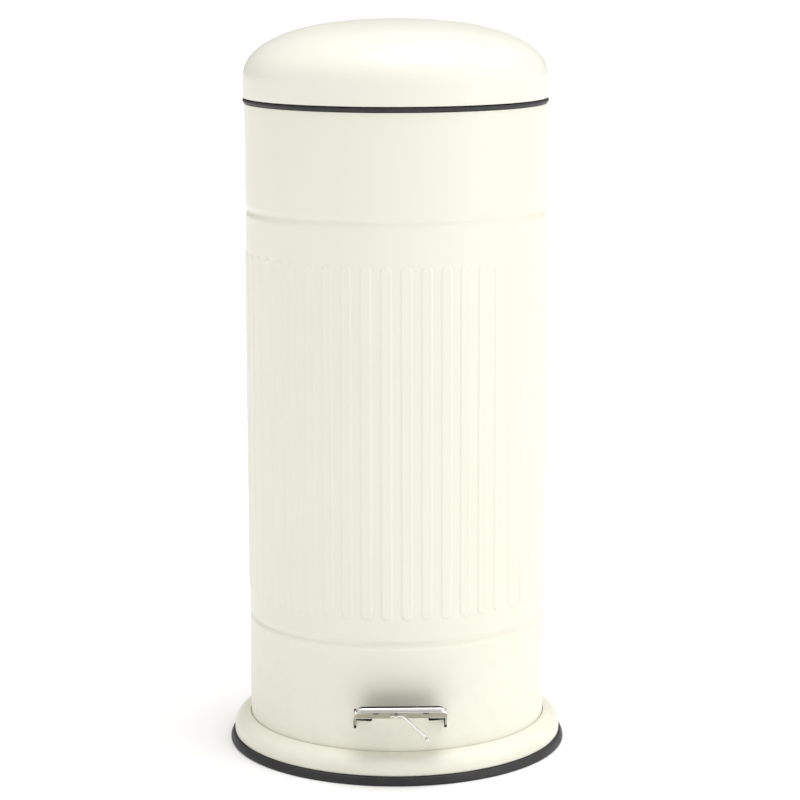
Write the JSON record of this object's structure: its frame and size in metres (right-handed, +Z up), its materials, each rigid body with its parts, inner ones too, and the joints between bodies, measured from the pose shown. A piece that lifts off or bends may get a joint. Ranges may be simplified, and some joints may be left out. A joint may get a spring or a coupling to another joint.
{
  "type": "pedal trash can",
  "caption": "Round cream-enamelled steel pedal bin with vertical flutes, domed hinged lid, chrome foot pedal, rubber-footed base ring and a lift-out bucket.",
  "frame": {"origin": "on the floor, at the centre of the round base", "axes": "+Z up the body's axis, -Y towards the pedal at the front, +X to the right of someone facing the pedal"},
  "size_m": [0.32, 0.34, 0.6842],
  "materials": {
    "cream_enamel": "gloss stove enamel, warm cream",
    "cream_lid_enamel": "gloss stove enamel, cream",
    "chrome": "bright chrome plate",
    "zinc_steel": "zinc-plated steel",
    "black_rubber": "satin rubber",
    "black_plastic": "moulded polypropylene"
  },
  "bodies": {
    "bin": {"base_rubber_ring": "black_rubber", "rim_seal": "black_rubber", "base_ring": "cream_enamel", "body_shell": "cream_enamel", "carry_handle": "black_plastic", "base_plate": "zinc_steel", "base_screw_1": "zinc_steel", "base_screw_2": "zinc_steel", "base_screw_3": "zinc_steel", "base_screw_4": "zinc_steel", "bucket_shelf": "zinc_steel", "hinge_bracket": "zinc_steel", "hinge_pin": "zinc_steel", "hinge_rivet_1": "zinc_steel", "hinge_rivet_2": "zinc_steel", "hinge_rivet_3": "zinc_steel", "hinge_rivet_4": "zinc_steel", "handle_screw_1": "zinc_steel", "handle_screw_2": "zinc_steel", "pedal_bracket": "zinc_steel", "pedal_axle": "zinc_steel", "crank_bracket": "zinc_steel", "crank_axle": "zinc_steel", "push_rod_guide": "zinc_steel", "lift_rod_guide_1": "zinc_steel", "lift_rod_guide_2": "zinc_steel"},
    "lid": {"lid_dome": "cream_lid_enamel", "lid_hinge_arm": "zinc_steel", "lid_rivet_1": "zinc_steel", "lid_rivet_2": "zinc_steel", "lid_rivet_3": "zinc_steel"},
    "pedal": {"pedal_plate": "chrome", "pedal_pad": "black_rubber", "pedal_crank": "zinc_steel", "catch_clip": "chrome"},
    "catch": {"catch_wire": "chrome"},
    "push_rod": {"push_rod": "zinc_steel"},
    "rear_crank": {"rear_crank": "zinc_steel"},
    "lift_rod": {"lift_rod": "zinc_steel"},
    "bucket": {"bucket": "black_plastic"},
    "bail": {"bail_wire": "zinc_steel", "bail_grip": "black_plastic"}
  },
  "joints": [
    {"name": "lid_hinge", "type": "hinge", "parent": "bin", "child": "lid", "pos_m": [0, 0.15, 0.606], "axis": [-1, 0, 0], "range_deg": [0, 70]},
    {"name": "pedal_hinge", "type": "hinge", "parent": "bin", "child": "pedal", "pos_m": [0, -0.127, 0.056], "axis": [1, 0, 0], "range_deg": [0, 22]},
    {"name": "push_rod_slide", "type": "slide", "parent": "bin", "child": "push_rod", "axis": [0, 1, 0], "range_m": [0, 0.01069]},
    {"name": "rear_crank_hinge", "type": "hinge", "parent": "bin", "child": "rear_crank", "pos_m": [0, 0.09, 0.045], "axis": [1, 0, 0], "range_deg": [0, 38.8]},
    {"name": "lift_rod_slide", "type": "slide", "parent": "bin", "child": "lift_rod", "axis": [0, 0, 1], "range_m": [0, 0.02657]},
    {"name": "catch_hinge", "type": "hinge", "parent": "pedal", "child": "catch", "pos_m": [0, -0.1635, 0.068], "axis": [1, 0, 0], "range_deg": [-70, 25]},
    {"name": "bucket_lift", "type": "slide", "parent": "bin", "child": "bucket", "axis": [0, 0, 1], "range_m": [0, 0.015]},
    {"name": "bail_hinge", "type": "hinge", "parent": "bucket", "child": "bail", "pos_m": [0, 0, 0.606], "axis": [-1, 0, 0], "range_deg": [0, 15]}
  ],
  "couplings": [
    {"joint": "pedal_hinge", "follows": "lid_hinge", "ratio": 0.31429},
    {"joint": "push_rod_slide", "follows": "lid_hinge", "m_per_rad": 0.008746},
    {"joint": "rear_crank_hinge", "follows": "lid_hinge", "ratio": 0.55429},
    {"joint": "lift_rod_slide", "follows": "lid_hinge", "m_per_rad": 0.02175}
  ]
}
